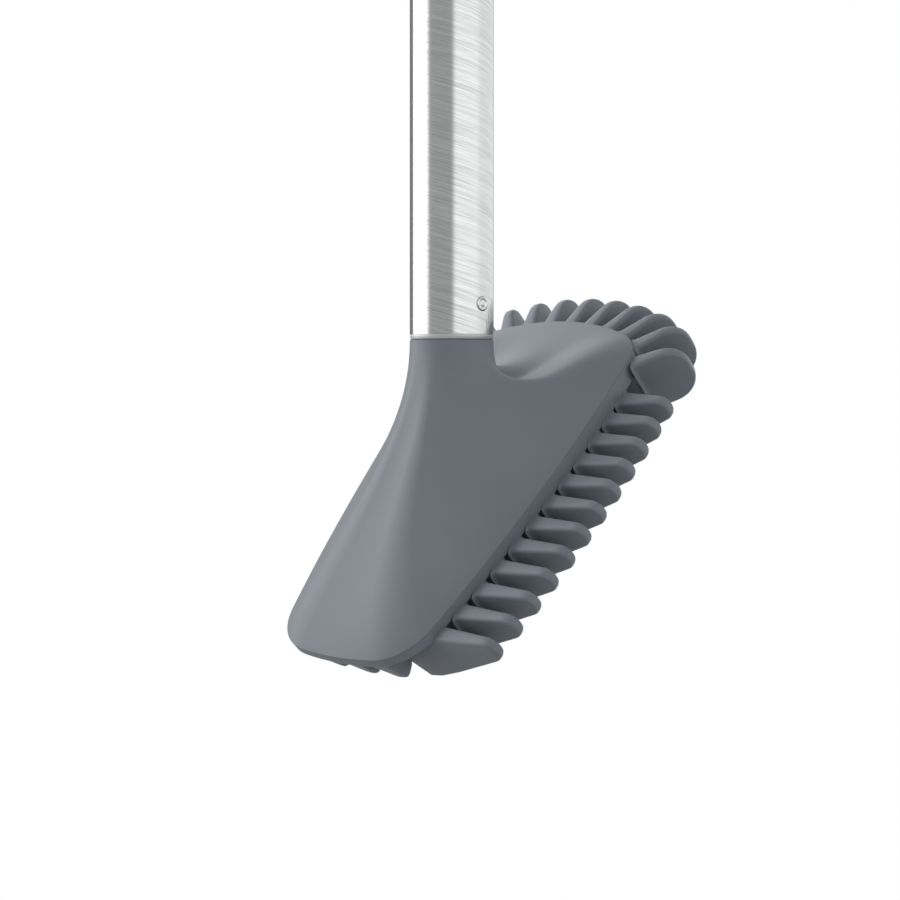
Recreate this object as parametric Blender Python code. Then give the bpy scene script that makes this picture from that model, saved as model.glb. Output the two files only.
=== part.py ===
"""Toilet brush with a silicone head: a stainless tube handle and a screwed-on head with blade fins.

Metres, +Z up. The origin is the middle of the flat top of the handle's end cap, and the brush hangs
below it. +X points to the toe of the head and -Y to the side that carries the row of fins.

The head is drawn in the frame of its base plane, which leans against the handle: l runs along the
plane from heel to toe, w runs towards the finned side, and n runs square to the plane, away from the
handle.
"""

import math

import bmesh
import bpy
from mathutils import Matrix, Vector

MM = 0.001
GAP = 0.3 * MM  # between pieces that touch

# Handle
TUBE_OD = 20.0 * MM
TUBE_WALL = 0.8 * MM
TUBE_LENGTH = 318.0 * MM
TUBE_END_BEVEL = 0.6 * MM
CAP_HEIGHT = 3.0 * MM
CAP_EDGE = 1.0 * MM
CAP_SPIGOT_RADIUS = 4.0 * MM
CAP_SPIGOT_LENGTH = 9.0 * MM
PLUG_LENGTH = 14.0 * MM
INSERT_LENGTH = 32.0 * MM
PIN_RADIUS = 1.8 * MM
PIN_HEIGHT = 8.1 * MM  # above the tube's lower end
PIN_DEPTH = 3.6 * MM  # from the tube's outside to the pin's inner end
PIN_RECESS = 0.15 * MM

# Screwed joint between handle and head
STUD_RADIUS = 4.8 * MM
STUD_ENGAGED = 15.0 * MM
STUD_BURIED = 16.0 * MM
STUD_CHAMFER = 0.8 * MM
SEAL_HEIGHT = 1.2 * MM
SEAL_BORE_CLEARANCE = 0.6 * MM

# Head: base plane and outline
BASE_LEAN = math.radians(45.0)
BASE_DROP = 33.0 * MM  # from the top of the neck down to the base plane, on the handle's axis
TOE_REACH = 54.0 * MM
HEEL_REACH = 53.4 * MM
HALF_WIDTH = 31.0 * MM
WIDEST_AT = 36.0 * MM
SIDE_ARC = 385.0 * MM
TOE_ARC = 62.0 * MM
HEEL_ARC = 100.0 * MM
TOE_CORNER = 10.0 * MM
HEEL_CORNER = 13.0 * MM
OUTLINE_POINTS = 56  # an even number, so that the toe and the heel each have a point on the axis

# Head: dome over the outline
SHELL_WALL = 2.2 * MM
DOME_ROWS = 9
NECK_PULL = {"toe": 8.0 * MM, "side": 14.0 * MM, "heel": 25.0 * MM}
NECK_DIP = 10.0 * MM  # added to the pull between toe and side, where a valley runs round the neck
HEADING_SPREAD = 16.0 * MM  # each way, so the dome's lines turn evenly past the corners
RIM_PULL = {"toe": 24.0 * MM, "side": 13.0 * MM, "heel": 24.0 * MM}
RIM_SLOPE = {"toe": math.radians(7.0), "side": math.radians(42.0), "heel": math.radians(32.0)}

# Head: skirt under the dome
WALL_AT_TOE = 5.2 * MM
WALL_AT_HEEL = 2.4 * MM
FIN_BITE = 0.7 * MM  # how far a fin's top edge runs up the wall

# Fins
FIN_PITCH = 6.65 * MM
FIN_ROOT = 4.4 * MM
FIN_TIP = 2.3 * MM
ROW_COUNT = 12
ROW_START = 31.3 * MM
ROW_REACH_AT_TOE = 13.4 * MM
ROW_REACH_AT_HEEL = 16.2 * MM
ROW_TIP_HEIGHT = 5.8 * MM
ROW_LOWER_SLOPE = math.radians(21.0)
ROW_INWARD = 10.0 * MM
FAN_COUNT = 6  # on each side of the axis
FAN_TURN = math.radians(11.4)
FAN_REACH = 12.8 * MM
FAN_TOP = 1.0 * MM
FAN_HEIGHT = 14.6 * MM
FAN_CORNERS = (5.5 * MM, 6.5 * MM)
FAN_INWARD = 6.0 * MM
INNER_SLOPE = math.radians(53.0)
TOOTH_PITCH = 8.0 * MM
TOOTH_START = 11.2 * MM
TOOTH_DEPTHS = (9.5 * MM, 8.0 * MM, 5.8 * MM, 4.0 * MM)
TOOTH_ROOT = 5.4 * MM
TOOTH_TIP = 2.0 * MM
TOOTH_LENGTH = 5.0 * MM
RIB_DEPTH = 4.5 * MM  # low ribs under the far half of the sole
RIB_INWARD = 12.0 * MM

# Heights worked out from the sizes above
TUBE_TOP = -(CAP_HEIGHT + GAP)
TUBE_BOTTOM = TUBE_TOP - TUBE_LENGTH
NECK_TOP = TUBE_BOTTOM - GAP
NECK_RADIUS = TUBE_OD / 2
TUBE_BORE = TUBE_OD / 2 - TUBE_WALL
INSERT_RADIUS = TUBE_BORE - GAP
CAVITY_RADIUS = NECK_RADIUS - SHELL_WALL
CORE_TOP = NECK_TOP - SEAL_HEIGHT - GAP
UNDER_NECK = BASE_DROP * math.sin(BASE_LEAN)  # along the base plane, square under the neck's top
ROUND = 48  # sides of the round pieces
CHORD = 1 - math.cos(math.radians(45))  # how far a quarter arc's middle lies from its corner's sides

FINISHES = {
    "brushed stainless": ((0.62, 0.62, 0.61), 0.32, 1.0),
    "moulded polypropylene": ((0.05, 0.055, 0.06), 0.5, 0.0),
    "slate silicone": ((0.15, 0.17, 0.19), 0.62, 0.0),
    "black nitrile": ((0.02, 0.02, 0.022), 0.7, 0.0),
}

BASE = Vector((0.0, 0.0, NECK_TOP - BASE_DROP))
ALONG = Vector((math.cos(BASE_LEAN), 0.0, math.sin(BASE_LEAN)))
ACROSS = Vector((0.0, -1.0, 0.0))
AWAY = Vector((math.sin(BASE_LEAN), 0.0, -math.cos(BASE_LEAN)))


def clear_scene():
    """Empties the scene."""
    for obj in list(bpy.data.objects):
        bpy.data.objects.remove(obj, do_unlink=True)


def finish(name):
    """Returns the named finish as a Principled material."""
    if name in bpy.data.materials:
        return bpy.data.materials[name]
    colour, roughness, metallic = FINISHES[name]
    material = bpy.data.materials.new(name)
    material.use_nodes = True
    shader = material.node_tree.nodes["Principled BSDF"]
    shader.inputs["Base Color"].default_value = (*colour, 1.0)
    shader.inputs["Roughness"].default_value = roughness
    shader.inputs["Metallic"].default_value = metallic
    return material


def solid(name, bm, material, crease=30.0):
    """Turns a bmesh into a named object with one finish and its faces pointing out."""
    bmesh.ops.recalc_face_normals(bm, faces=bm.faces)
    mesh = bpy.data.meshes.new(name)
    bm.to_mesh(mesh)
    bm.free()
    mesh.shade_smooth()
    mesh.set_sharp_from_angle(angle=math.radians(crease))
    obj = bpy.data.objects.new(name, mesh)
    obj.data.materials.append(finish(material))
    bpy.context.scene.collection.objects.link(obj)
    return obj


def hide_as_tool(obj):
    """Marks a shape that only cuts or joins another one."""
    obj.hide_render = True
    obj.display_type = "WIRE"


def boolean(target, tool, operation):
    """Cuts a tool from a target or joins it on, with the exact solver."""
    modifier = target.modifiers.new(tool.name, "BOOLEAN")
    modifier.operation = operation
    modifier.object = tool
    modifier.use_self = operation == "UNION"
    hide_as_tool(tool)


def turned(profile, segments=ROUND):
    """Returns a bmesh of a closed (radius, z) profile turned about Z; radius 0 makes a pole."""
    bm = bmesh.new()
    rings = []
    for radius, z in profile:
        if radius == 0.0:
            rings.append([bm.verts.new((0.0, 0.0, z))] * segments)
            continue
        turns = (2 * math.pi * i / segments for i in range(segments))
        rings.append([bm.verts.new((radius * math.cos(a), radius * math.sin(a), z)) for a in turns])
    for first, second in zip(rings, rings[1:] + rings[:1]):
        for i in range(segments):
            j = (i + 1) % segments
            corners = []
            for vert in (first[i], first[j], second[j], second[i]):
                if vert not in corners:
                    corners.append(vert)
            if len(corners) > 2:
                bm.faces.new(corners)
    return bm


def side_cylinder(name, radius, start, end, z, segments=16):
    """Returns a cylinder that lies along -Y from start to end, measured from the handle's axis."""
    bm = bmesh.new()
    bmesh.ops.create_cone(
        bm,
        cap_ends=True,
        segments=segments,
        radius1=radius,
        radius2=radius,
        depth=end - start,
        matrix=Matrix.Translation((0.0, -(start + end) / 2, z)) @ Matrix.Rotation(math.pi / 2, 4, "X"),
    )
    return solid(name, bm, "brushed stainless")


def head_point(along, across, away):
    """Returns the point at (l, w, n) in the frame of the base plane."""
    return BASE + ALONG * along + ACROSS * across + AWAY * away


class Outline:
    """The head's outline in the base plane: toe, side and heel arcs with rounded corners.

    Arcs run from the toe's middle to the heel's middle on the finned side; the other side is their
    mirror image.
    """

    def __init__(self):
        side = (WIDEST_AT, HALF_WIDTH - SIDE_ARC)
        toe = (TOE_REACH - TOE_ARC, 0.0)
        heel = (HEEL_ARC - HEEL_REACH, 0.0)
        toe_corner = self.corner(toe, TOE_ARC, side, SIDE_ARC, TOE_CORNER, 1.0)
        heel_corner = self.corner(heel, HEEL_ARC, side, SIDE_ARC, HEEL_CORNER, -1.0)
        turn_at_toe = self.heading(toe, toe_corner)
        leave_toe = self.heading(side, toe_corner)
        reach_heel = self.heading(side, heel_corner)
        turn_at_heel = self.heading(heel, heel_corner)
        self.arcs = [
            (toe, TOE_ARC, 0.0, turn_at_toe),
            (toe_corner, TOE_CORNER, turn_at_toe, leave_toe),
            (side, SIDE_ARC, leave_toe, reach_heel),
            (heel_corner, HEEL_CORNER, reach_heel, turn_at_heel),
            (heel, HEEL_ARC, turn_at_heel, math.pi),
        ]
        self.length = sum(radius * (end - start) for _, radius, start, end in self.arcs)

    @staticmethod
    def heading(centre, point):
        """Returns the direction from a centre to a point, as an angle from the l axis."""
        return math.atan2(point[1] - centre[1], point[0] - centre[0])

    @staticmethod
    def corner(end_centre, end_radius, side_centre, side_radius, radius, towards):
        """Returns the centre of a corner arc that touches an end arc and the side arc from inside."""
        first, second = end_radius - radius, side_radius - radius
        gap = math.dist(end_centre, side_centre)
        ahead = (first**2 - second**2 + gap**2) / (2 * gap)
        aside = math.sqrt(first**2 - ahead**2)
        step = [(side_centre[i] - end_centre[i]) / gap for i in (0, 1)]
        middle = [end_centre[i] + ahead * step[i] for i in (0, 1)]
        found = [(middle[0] - k * aside * step[1], middle[1] + k * aside * step[0]) for k in (1, -1)]
        return max(found, key=lambda point: towards * point[0])

    def at(self, distance):
        """Returns (l, w, heading) at a signed distance along the outline from the toe's middle."""
        side = math.copysign(1.0, distance)
        left = abs(distance)
        for centre, radius, start, end in self.arcs:
            span = radius * (end - start)
            if left <= span or end == math.pi:
                turn = start + left / radius
                return (
                    centre[0] + radius * math.cos(turn),
                    side * (centre[1] + radius * math.sin(turn)),
                    side * turn,
                )
            left -= span

    def ring(self):
        """Returns the points of the whole outline, in order, starting at the toe's middle."""
        half = OUTLINE_POINTS // 2
        distances = [self.length * i / half for i in range(half + 1)]
        distances += [-d for d in reversed(distances[1:-1])]
        return [self.at(d) for d in distances]

    def soft_heading(self, distance):
        """Returns the heading averaged over a stretch of the outline each way."""
        total = 0.0
        for step in range(-4, 5):
            place = distance + step * HEADING_SPREAD / 4
            over = abs(place) - self.length
            if over <= 0:
                total += self.at(place)[2]
            else:
                mirrored = math.copysign(self.length - over, place)
                total += math.copysign(2 * math.pi, place) - self.at(mirrored)[2]
        return total / 9

    def soft_ring(self):
        """Returns the points of the whole outline with their averaged headings."""
        half = OUTLINE_POINTS // 2
        distances = [self.length * i / half for i in range(half + 1)]
        distances += [-d for d in reversed(distances[1:-1])]
        return [self.at(d)[:2] + (self.soft_heading(d),) for d in distances]

    def half_width_at(self, along):
        """Returns the half-width on the side arc at a place along the head."""
        centre, radius = self.arcs[2][:2]
        return centre[1] + math.sqrt(radius**2 - (along - centre[0]) ** 2)


OUTLINE = Outline()


def blended(sizes, turn):
    """Returns a dome size between its toe, side and heel values, for a heading round the head."""
    ahead = math.cos(turn)
    end = sizes["toe"] if ahead > 0 else sizes["heel"]
    return sizes["side"] + (end - sizes["side"]) * ahead**2


def dome_line(place):
    """Returns one line of the dome, from the neck's rim down to the outline.

    Each line is a cubic curve that leaves the neck straight down and meets the outline at the rim
    slope of its side.
    """
    along, across, turn = place
    rim = head_point(along, across, 0.0)
    around = math.atan2(across, along - UNDER_NECK)
    neck = Vector((NECK_RADIUS * math.cos(around), -NECK_RADIUS * math.sin(around), NECK_TOP))
    slope = blended(RIM_SLOPE, turn)
    inward = -(ALONG * math.cos(turn) + ACROSS * math.sin(turn))
    rise = inward * math.cos(slope) - AWAY * math.sin(slope)
    dip = NECK_DIP * math.sin(2 * around) ** 2 if abs(around) < math.pi / 2 else 0.0
    first = neck - Vector((0.0, 0.0, blended(NECK_PULL, around) + dip))
    second = rim + rise * blended(RIM_PULL, turn)
    line = []
    for row in range(DOME_ROWS + 1):
        t = row / DOME_ROWS
        s = 1.0 - t
        line.append(neck * s**3 + first * (3 * s * s * t) + second * (3 * s * t * t) + rim * t**3)
    return line


def dome_solid(depth, collar_top):
    """Returns a closed bmesh of the dome, sunk square to its surface, with a straight collar on top."""
    bm = bmesh.new()
    lines = [dome_line(place) for place in OUTLINE.soft_ring()]
    rows = []
    for row in range(DOME_ROWS + 1):
        ring = []
        for i, line in enumerate(lines):
            down = line[min(row + 1, DOME_ROWS)] - line[max(row - 1, 0)]
            around = lines[(i + 1) % len(lines)][row] - lines[i - 1][row]
            ring.append(bm.verts.new(line[row] - around.cross(down).normalized() * depth))
        rows.append(ring)
    if collar_top > NECK_TOP:
        rows.insert(0, [bm.verts.new((v.co.x, v.co.y, collar_top)) for v in rows[0]])
    for vert in rows[0]:
        vert.co.z = collar_top
    for upper, lower in zip(rows, rows[1:]):
        bridge(bm, upper, lower)
    bm.faces.new(rows[0])
    bm.faces.new(list(reversed(rows[-1])))
    return bm


def bridge(bm, first, second):
    """Joins two rings of vertices with a band of triangles."""
    count = len(first)
    for i in range(count):
        j = (i + 1) % count
        bm.faces.new((first[i], first[j], second[j]))
        bm.faces.new((first[i], second[j], second[i]))


def rounded(corners, steps=4):
    """Returns a closed outline of (u, n, radius) corners with each corner turned into an arc."""
    points = []
    count = len(corners)
    for i, (u, n, radius) in enumerate(corners):
        here = Vector((u, n))
        before = (Vector(corners[i - 1][:2]) - here).normalized()
        after = (Vector(corners[(i + 1) % count][:2]) - here).normalized()
        if radius == 0.0:
            points.append(here)
            continue
        half = before.angle(after) / 2
        centre = here + (before + after).normalized() * (radius / math.sin(half))
        start = here + before * (radius / math.tan(half)) - centre
        end = here + after * (radius / math.tan(half)) - centre
        sweep = start.angle_signed(end)
        for step in range(steps + 1):
            turn = -sweep * step / steps
            points.append(
                centre
                + Vector(
                    (
                        start.x * math.cos(turn) - start.y * math.sin(turn),
                        start.x * math.sin(turn) + start.y * math.cos(turn),
                    )
                )
            )
    return points


def blade(bm, root, heading, profile, half_thickness):
    """Adds a flat blade to a bmesh.

    The profile's points are (u, n): u runs outwards along the heading from the root, which is (l, w),
    and n runs away from the handle. Half the thickness at each point comes from a function of (u, n).
    """
    ahead = (math.cos(heading), math.sin(heading))
    sides = []
    for sign in (1, -1):
        ring = []
        for u, n in profile:
            off = sign * half_thickness(u, n)
            along = root[0] + u * ahead[0] - off * ahead[1]
            across = root[1] + u * ahead[1] + off * ahead[0]
            ring.append(bm.verts.new(head_point(along, across, n)))
        sides.append(ring)
    flanks = [bm.faces.new(sides[0]), bm.faces.new(list(reversed(sides[1])))]
    bmesh.ops.triangulate(bm, faces=flanks)
    for i in range(len(profile)):
        j = (i + 1) % len(profile)
        bm.faces.new((sides[0][i], sides[1][i], sides[1][j], sides[0][j]))


def wall_height(along):
    """Returns the height of the skirt's wall, which falls from the toe to the heel."""
    share = (along + HEEL_REACH) / (TOE_REACH + HEEL_REACH)
    return WALL_AT_HEEL + (WALL_AT_TOE - WALL_AT_HEEL) * share


def fin_thickness(reach):
    """Returns the half-thickness of a fin as a function of (u, n): thick at its root, thin at its tip."""

    def half(u, _):
        share = min(max(u / reach, 0.0), 1.0)
        return (FIN_ROOT + (FIN_TIP - FIN_ROOT) * share) / 2

    return half


def row_profile(top, reach):
    """Returns the outline of a side fin whose top edge is at n = top."""
    tip_low = top + ROW_TIP_HEIGHT
    low = tip_low + (reach + ROW_INWARD - ROW_TIP_HEIGHT / 2) * math.tan(ROW_LOWER_SLOPE)
    inner_top = -ROW_INWARD - (low - top) / math.tan(INNER_SLOPE)
    corner = ROW_TIP_HEIGHT / 2
    return rounded(
        [
            (inner_top, top, 0.0),
            (0.0, top, 0.0),
            (reach, top, corner),
            (reach, tip_low + FIN_BITE, corner),
            (0.0, low - ROW_INWARD * math.tan(ROW_LOWER_SLOPE), 0.0),
            (-ROW_INWARD, low, 1.0 * MM),
        ]
    )


def fan_profile(sole):
    """Returns the outline of a toe fin over a sole at n = sole."""
    low = FAN_TOP + FAN_HEIGHT
    inner_top = -FAN_INWARD - (low - sole) / math.tan(INNER_SLOPE)
    return rounded(
        [
            (inner_top, sole - FIN_BITE, 0.0),
            (-FIN_ROOT / 2, sole - FIN_BITE, 0.0),
            (-FIN_ROOT / 2, FAN_TOP, 0.0),
            (0.0, FAN_TOP, 0.0),
            (FAN_REACH, FAN_TOP, FAN_CORNERS[0]),
            (FAN_REACH, low, FAN_CORNERS[1]),
            (0.0, low, 0.0),
            (-FAN_INWARD, low, 1.0 * MM),
        ]
    )


def tooth_profile(top, depth):
    """Returns the outline of a heel tooth: flush outside at the rim, and drawn in towards its foot."""
    low = top + depth
    inner_top = -TOOTH_LENGTH - depth / math.tan(INNER_SLOPE)
    return rounded(
        [
            (inner_top, top, 0.0),
            (-GAP, top, 0.0),
            (-depth * 0.4, low, 0.6 * MM),
            (-depth * 0.4 - TOOTH_LENGTH / 2, low, 0.6 * MM),
        ],
        steps=2,
    )


def rib_profile(top):
    """Returns the outline of a low rib under the far half of the sole."""
    low = top + RIB_DEPTH
    return rounded(
        [
            (-RIB_INWARD - RIB_DEPTH, top, 0.0),
            (-GAP, top, 0.0),
            (-RIB_DEPTH * 0.4, low, 0.6 * MM),
            (-RIB_INWARD, low, 0.6 * MM),
        ],
        steps=2,
    )


def tooth_thickness(top, depth):
    """Returns the half-thickness of a tooth or rib: thick at the sole, thin at its foot."""

    def half(_, n):
        share = min(max((n - top) / depth, 0.0), 1.0)
        return (TOOTH_ROOT + (TOOTH_TIP - TOOTH_ROOT) * share) / 2

    return half


def add_fins(bm):
    """Adds every fin, tooth and rib to a bmesh as separate closed blades."""
    for index in range(ROW_COUNT):
        along = ROW_START - index * FIN_PITCH
        half_width = OUTLINE.half_width_at(along)
        top = wall_height(along) - FIN_BITE
        reach = ROW_REACH_AT_TOE + (ROW_REACH_AT_HEEL - ROW_REACH_AT_TOE) * index / (ROW_COUNT - 1)
        blade(bm, (along, half_width), math.pi / 2, row_profile(top, reach), fin_thickness(reach))
        rib = tooth_thickness(top, RIB_DEPTH + FIN_BITE)
        blade(bm, (along, -half_width), -math.pi / 2, rib_profile(top), rib)
    for index in range(FAN_COUNT):
        for side in (1, -1):
            along, across, _ = OUTLINE.at(side * (index + 0.5) * FIN_PITCH)
            heading = side * (index + 0.5) * FAN_TURN
            profile = fan_profile(wall_height(along))
            blade(bm, (along, across), heading, profile, fin_thickness(FAN_REACH))
    for index, depth in enumerate(TOOTH_DEPTHS):
        distance = OUTLINE.length - (TOOTH_START - index * TOOTH_PITCH)
        side = 1.0
        if distance > OUTLINE.length:
            distance = 2 * OUTLINE.length - distance
            side = -1.0
        along, across, turn = OUTLINE.at(side * distance)
        top = wall_height(along) - FIN_BITE
        thickness = tooth_thickness(top, depth + FIN_BITE)
        blade(bm, (along, across), turn, tooth_profile(top, depth), thickness)


def make_handle():
    """Makes the tube, its end cap and plug, the socket insert and the two lock pins."""
    radius = TUBE_OD / 2
    tube = solid(
        "handle_tube",
        turned(
            [
                (radius, TUBE_TOP),
                (radius, TUBE_BOTTOM + TUBE_END_BEVEL),
                (radius - TUBE_END_BEVEL / 2, TUBE_BOTTOM),
                (TUBE_BORE, TUBE_BOTTOM),
                (TUBE_BORE, TUBE_TOP),
            ]
        ),
        "brushed stainless",
    )
    spigot_end = -CAP_HEIGHT - CAP_SPIGOT_LENGTH
    solid(
        "end_cap",
        turned(
            [
                (0.0, 0.0),
                (radius - CAP_EDGE, 0.0),
                (radius - CAP_EDGE * CHORD, -CAP_EDGE * CHORD),
                (radius, -CAP_EDGE),
                (radius, -CAP_HEIGHT),
                (CAP_SPIGOT_RADIUS, -CAP_HEIGHT),
                (CAP_SPIGOT_RADIUS, spigot_end),
                (0.0, spigot_end),
            ]
        ),
        "brushed stainless",
    )
    solid(
        "cap_plug",
        turned(
            [
                (INSERT_RADIUS, TUBE_TOP),
                (INSERT_RADIUS, TUBE_TOP - PLUG_LENGTH),
                (CAP_SPIGOT_RADIUS + GAP, TUBE_TOP - PLUG_LENGTH),
                (CAP_SPIGOT_RADIUS + GAP, TUBE_TOP),
            ]
        ),
        "moulded polypropylene",
    )
    bore_end = TUBE_BOTTOM + STUD_ENGAGED + GAP
    insert = solid(
        "socket_insert",
        turned(
            [
                (0.0, TUBE_BOTTOM + INSERT_LENGTH),
                (INSERT_RADIUS, TUBE_BOTTOM + INSERT_LENGTH),
                (INSERT_RADIUS, TUBE_BOTTOM),
                (STUD_RADIUS + GAP, TUBE_BOTTOM),
                (STUD_RADIUS + GAP, bore_end),
                (0.0, bore_end),
            ]
        ),
        "moulded polypropylene",
    )
    pin_z = TUBE_BOTTOM + PIN_HEIGHT
    inner_end = radius - PIN_DEPTH
    outer_end = radius - PIN_RECESS
    for name, side in (("near", 1), ("far", -1)):
        hole = side_cylinder(f"{name}_pin_hole", PIN_RADIUS + GAP, inner_end - GAP, radius + TUBE_WALL, pin_z)
        pin = side_cylinder(f"lock_pin_{name}", PIN_RADIUS, inner_end, outer_end, pin_z)
        for obj in (hole, pin):
            obj.data.transform(Matrix.Rotation(0.0 if side > 0 else math.pi, 4, "Z"))
        boolean(tube, hole, "DIFFERENCE")
        boolean(insert, hole, "DIFFERENCE")


def make_joint_pieces():
    """Makes the seal ring on top of the core and the threaded stud that carries the head."""
    solid(
        "seal_ring",
        turned(
            [
                (CAVITY_RADIUS - GAP, NECK_TOP),
                (CAVITY_RADIUS - GAP, NECK_TOP - SEAL_HEIGHT),
                (STUD_RADIUS + SEAL_BORE_CLEARANCE, NECK_TOP - SEAL_HEIGHT),
                (STUD_RADIUS + SEAL_BORE_CLEARANCE, NECK_TOP),
            ]
        ),
        "black nitrile",
    )
    top = TUBE_BOTTOM + STUD_ENGAGED
    bottom = CORE_TOP - STUD_BURIED
    solid(
        "threaded_stud",
        turned(
            [
                (0.0, top),
                (STUD_RADIUS - STUD_CHAMFER, top),
                (STUD_RADIUS, top - STUD_CHAMFER),
                (STUD_RADIUS, bottom + STUD_CHAMFER),
                (STUD_RADIUS - STUD_CHAMFER, bottom),
                (0.0, bottom),
            ]
        ),
        "brushed stainless",
    )


def half_space(name, start):
    """Makes a block that fills everything past a plane parallel to the base plane, at n = start."""
    bm = bmesh.new()
    bmesh.ops.create_cube(bm, size=1.0)
    depth = 2 * SHELL_WALL + BASE_DROP
    width = 2 * (TOE_REACH + HEEL_REACH)
    square = Matrix((ALONG, ACROSS, AWAY)).transposed().to_4x4()
    middle = Matrix.Translation(BASE + AWAY * (start + depth / 2))
    stretch = Matrix.Diagonal((width, width, depth, 1.0))
    bmesh.ops.transform(bm, matrix=middle @ square @ stretch, verts=bm.verts)
    return solid(name, bm, "moulded polypropylene")


def make_shell():
    """Makes the silicone dome as a skin, open at the neck and at the base plane."""
    shell = solid("head_shell", dome_solid(0.0, NECK_TOP), "slate silicone")
    cavity = dome_solid(SHELL_WALL, NECK_TOP + SHELL_WALL)
    boolean(shell, solid("shell_cavity", cavity, "slate silicone"), "DIFFERENCE")


def make_core():
    """Makes the rigid core that fills the dome, flat at the base plane, with a blind hole for the stud."""
    core = solid("head_core", dome_solid(SHELL_WALL + GAP, CORE_TOP), "moulded polypropylene")
    boolean(core, half_space("under_base", 0.0), "DIFFERENCE")
    drill = solid(
        "stud_hole",
        turned(
            [
                (0.0, CORE_TOP + STUD_CHAMFER),
                (STUD_RADIUS + GAP, CORE_TOP + STUD_CHAMFER),
                (STUD_RADIUS + GAP, CORE_TOP - STUD_BURIED - GAP),
                (0.0, CORE_TOP - STUD_BURIED - GAP),
            ]
        ),
        "brushed stainless",
    )
    boolean(core, drill, "DIFFERENCE")


def make_skirt():
    """Makes the finned skirt: a wall and sole under the dome, joined with all the blades."""
    bm = bmesh.new()
    ring = OUTLINE.ring()
    upper = [bm.verts.new(head_point(along, across, GAP)) for along, across, _ in ring]
    lower = [bm.verts.new(head_point(along, across, wall_height(along))) for along, across, _ in ring]
    bridge(bm, upper, lower)
    bm.faces.new(upper)
    bm.faces.new(list(reversed(lower)))
    skirt = solid("fin_skirt", bm, "slate silicone")
    fins = bmesh.new()
    add_fins(fins)
    boolean(skirt, solid("fins", fins, "slate silicone"), "UNION")


def main():
    clear_scene()
    make_handle()
    make_joint_pieces()
    make_shell()
    make_core()
    make_skirt()


main()
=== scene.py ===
"""Looks of a silicone toilet brush: a leaning, finned silicone head on a brushed stainless tube handle.

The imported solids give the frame: the handle's axis is Z and the head leans about 45 degrees to it. The
head is drawn in its base plane's own frame, where l runs from heel to toe, w towards the side with the
row of fins, and n away from the handle.
"""

import logging
import math
from dataclasses import dataclass, field
from enum import Enum
from typing import Callable, Iterable, Sequence

import bmesh
import bpy
import numpy as np
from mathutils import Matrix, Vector


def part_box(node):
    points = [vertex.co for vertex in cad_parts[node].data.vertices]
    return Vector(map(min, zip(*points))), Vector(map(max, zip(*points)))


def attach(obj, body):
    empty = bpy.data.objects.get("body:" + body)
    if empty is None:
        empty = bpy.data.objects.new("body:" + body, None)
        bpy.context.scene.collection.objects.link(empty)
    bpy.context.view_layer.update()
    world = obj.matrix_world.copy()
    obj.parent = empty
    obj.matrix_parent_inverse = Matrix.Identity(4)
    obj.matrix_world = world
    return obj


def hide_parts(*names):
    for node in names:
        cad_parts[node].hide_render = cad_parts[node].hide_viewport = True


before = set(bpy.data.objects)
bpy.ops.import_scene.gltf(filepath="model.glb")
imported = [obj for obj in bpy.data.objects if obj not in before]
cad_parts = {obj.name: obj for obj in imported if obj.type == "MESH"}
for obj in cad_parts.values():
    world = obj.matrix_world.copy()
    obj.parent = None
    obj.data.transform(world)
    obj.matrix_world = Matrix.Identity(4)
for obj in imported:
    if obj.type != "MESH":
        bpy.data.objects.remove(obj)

MM = 0.001
LOG = logging.getLogger("toilet_brush")

Point = tuple[float, float]
Profile = Callable[[float], float]
# The corners of a rounded rectangle: the sign of each direction, and the angle where the arc starts.
QUADRANTS = ((1, 1, 0), (-1, 1, 90), (-1, -1, 180), (1, -1, 270))


class Body(Enum):
    """The rigid bodies that pieces ride on."""

    HANDLE = "handle"
    SEAL = "seal"
    HEAD = "head"


class Slot(Enum):
    """The record's material slots."""

    STEEL = "steel"
    STUD_STEEL = "stud_steel"
    PLASTIC = "plastic"
    SEAL = "seal"
    SILICONE = "silicone"


# ---------------------------------------------------------------- node helpers


def linear(code: str) -> tuple[float, float, float, float]:
    """Turns an sRGB hex colour into a linear one.

    Args:
        code: The colour as "#rrggbb".

    Returns:
        Linear red, green, blue and an alpha of 1.
    """
    channels = []
    for start in (1, 3, 5):
        value = int(code[start : start + 2], 16) / 255
        channels.append(value / 12.92 if value <= 0.04045 else ((value + 0.055) / 1.055) ** 2.4)
    return (channels[0], channels[1], channels[2], 1.0)


def add(
    tree: bpy.types.NodeTree,
    kind: str,
    inputs: dict[str | int, object] | None = None,
    **settings: object,
) -> bpy.types.Node:
    """Adds a node to a tree with its settings and links.

    Args:
        tree: The tree that gets the node.
        kind: The node's type name.
        inputs: Input name or index to a value, or to an output socket that is linked to it.
        settings: Attributes set on the node.

    Returns:
        The new node.
    """
    node = tree.nodes.new(kind)
    for name, value in settings.items():
        setattr(node, name, value)
    for key, value in (inputs or {}).items():
        if isinstance(value, bpy.types.NodeSocket):
            tree.links.new(value, node.inputs[key])
        else:
            node.inputs[key].default_value = value
    return node


def ramp(
    tree: bpy.types.NodeTree,
    factor: bpy.types.NodeSocket,
    stops: Sequence[tuple[float, tuple[float, float, float, float]]],
) -> bpy.types.NodeSocket:
    """Adds a colour ramp.

    Args:
        tree: The tree that gets the ramp.
        factor: The socket that drives it.
        stops: Position and colour of each stop, in order.

    Returns:
        The ramp's colour socket.
    """
    node = add(tree, "ShaderNodeValToRGB", {"Fac": factor})
    elements = node.color_ramp.elements
    while len(elements) < len(stops):
        elements.new(0.5)
    for element, (place, colour) in zip(elements, stops):
        element.position = place
        element.color = colour
    return node.outputs["Color"]


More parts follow.
